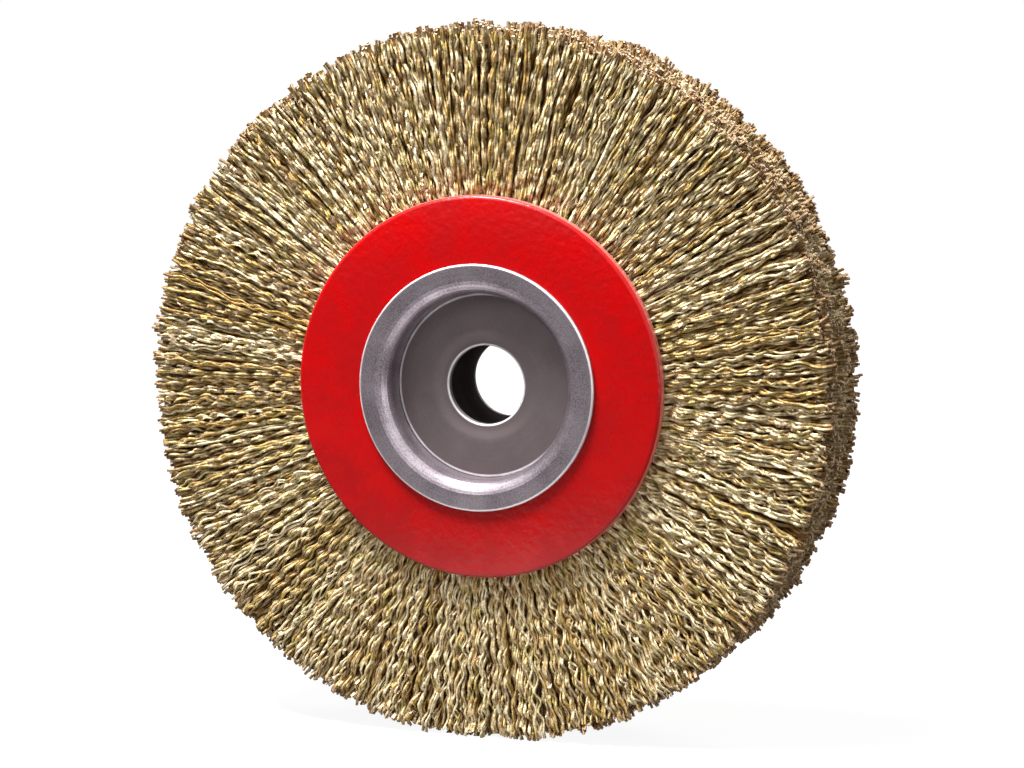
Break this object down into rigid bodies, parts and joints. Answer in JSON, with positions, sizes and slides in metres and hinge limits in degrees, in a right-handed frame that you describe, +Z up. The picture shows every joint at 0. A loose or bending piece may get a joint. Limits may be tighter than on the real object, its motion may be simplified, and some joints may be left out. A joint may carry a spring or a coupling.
{
  "type": "wire wheel brush",
  "caption": "Crimped wire wheel brush with painted clamping flanges, a flared hub sleeve and push-in arbor adapters, for cleaning metal on a powered spindle.",
  "frame": {"origin": "centre of the wheel: on its axis, midway between its two faces", "axes": "the wheel spins about Y, its front face looks to -Y, and +Z is up"},
  "size_m": [0.2, 0.042, 0.2],
  "materials": {
    "red_enamel": "gloss enamel with slight orange peel",
    "hub_steel": "bare pressed steel, satin and slightly mottled",
    "adapter_steel": "smooth turned and pressed steel",
    "plated_steel": "plain plated steel",
    "brass_wire": "crimped brass-coated steel wire"
  },
  "bodies": {
    "brush": {"hub_sleeve": "hub_steel", "front_flange": "red_enamel", "rear_flange": "red_enamel", "front_clamp_plate": "plated_steel", "rear_clamp_plate": "plated_steel", "front_spacer": "plated_steel", "rear_spacer": "plated_steel", "front_core_ring": "plated_steel", "middle_core_ring": "plated_steel", "rear_core_ring": "plated_steel", "front_wires_1": "brass_wire", "front_wires_2": "brass_wire", "front_wires_3": "brass_wire", "front_wires_4": "brass_wire", "front_wires_5": "brass_wire", "front_wires_6": "brass_wire", "front_wires_7": "brass_wire", "front_wires_8": "brass_wire", "middle_wires_1": "brass_wire", "middle_wires_2": "brass_wire", "middle_wires_3": "brass_wire", "middle_wires_4": "brass_wire", "middle_wires_5": "brass_wire", "middle_wires_6": "brass_wire", "middle_wires_7": "brass_wire", "middle_wires_8": "brass_wire", "rear_wires_1": "brass_wire", "rear_wires_2": "brass_wire", "rear_wires_3": "brass_wire", "rear_wires_4": "brass_wire", "rear_wires_5": "brass_wire", "rear_wires_6": "brass_wire", "rear_wires_7": "brass_wire", "rear_wires_8": "brass_wire"},
    "front_adapter": {"front_adapter": "adapter_steel"},
    "rear_adapter": {"rear_adapter": "adapter_steel"}
  },
  "joints": [
    {"name": "front_adapter_slide", "type": "slide", "parent": "brush", "child": "front_adapter", "axis": [0, -1, 0], "range_m": [0, 0.03]},
    {"name": "rear_adapter_slide", "type": "slide", "parent": "brush", "child": "rear_adapter", "axis": [0, 1, 0], "range_m": [0, 0.03]}
  ]
}
